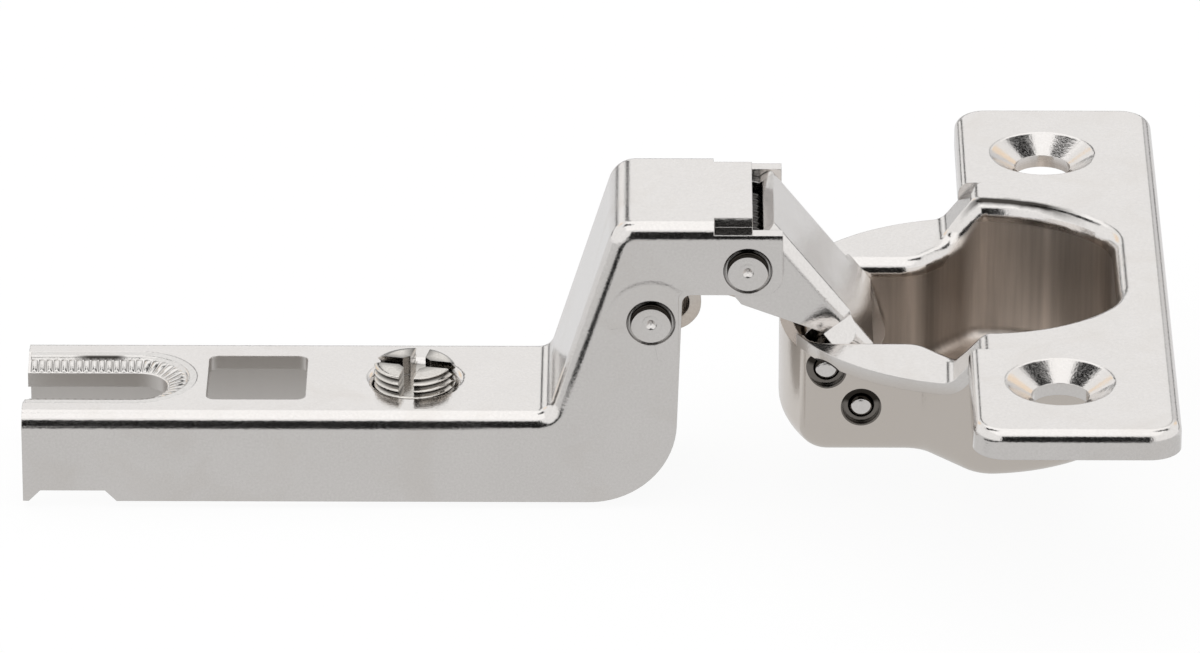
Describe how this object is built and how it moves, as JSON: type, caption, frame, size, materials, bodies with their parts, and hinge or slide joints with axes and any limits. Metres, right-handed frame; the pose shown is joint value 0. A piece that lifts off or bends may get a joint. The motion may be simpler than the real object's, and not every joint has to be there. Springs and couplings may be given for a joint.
{
  "type": "concealed cup hinge",
  "caption": "Concealed cabinet hinge with drawn cup and screw flange, high-crank slotted arm, two linked pivots, spring and side adjusting screw.",
  "frame": {"origin": "where the cup's axis meets the door face, which is the plane the flange's rim rests on", "axes": "+Z out of the door face, with the hinge open; -X along the arm into the cabinet; Y along the pivots"},
  "size_m": [0.0988, 0.0684, 0.0262],
  "materials": {
    "arm": "bright nickel plate over folded steel sheet",
    "cup": "bright nickel plate over drawn steel sheet",
    "outer_link": "bright nickel plate over folded steel sheet",
    "inner_link": "nickel plate over bent steel sheet",
    "front_rivet": "nickel plated, turned steel",
    "rear_rivet": "nickel plated, turned steel",
    "upper_cup_pin": "nickel plated, turned steel",
    "lower_cup_pin": "nickel plated, turned steel",
    "torsion_spring": "oiled spring steel wire",
    "adjusting_screw": "bright nickel plated steel, cut thread"
  },
  "bodies": {
    "arm": {"arm": "arm", "front_rivet": "front_rivet", "rear_rivet": "rear_rivet", "torsion_spring": "torsion_spring"},
    "outer_link": {"outer_link": "outer_link"},
    "cup": {"cup": "cup", "upper_cup_pin": "upper_cup_pin", "lower_cup_pin": "lower_cup_pin"},
    "inner_link": {"inner_link": "inner_link"},
    "adjusting_screw": {"adjusting_screw": "adjusting_screw"}
  },
  "joints": [
    {"name": "outer_link_pivot", "type": "hinge", "parent": "arm", "child": "outer_link", "pos_m": [-0.0203, 0, 0.0053], "axis": [0, -1, 0], "range_deg": [-27.6, 0]},
    {"name": "cup_swing", "type": "hinge", "parent": "outer_link", "child": "cup", "pos_m": [-0.0105, 0, -0.0069], "axis": [0, -1, 0], "range_deg": [0, 117.54]},
    {"name": "inner_link_pivot", "type": "hinge", "parent": "cup", "child": "inner_link", "pos_m": [-0.0135, 0, -0.0034], "axis": [0, -1, 0], "range_deg": [-135.7, 0]},
    {"name": "side_adjustment", "type": "hinge", "parent": "arm", "child": "adjusting_screw", "pos_m": [-0.0491, 0, -0.0091], "axis": [0, 0, 1], "continuous": true}
  ],
  "couplings": [
    {"joint": "outer_link_pivot", "follows": "cup_swing", "ratio": -0.23435},
    {"joint": "inner_link_pivot", "follows": "cup_swing", "ratio": -1.1537}
  ]
}
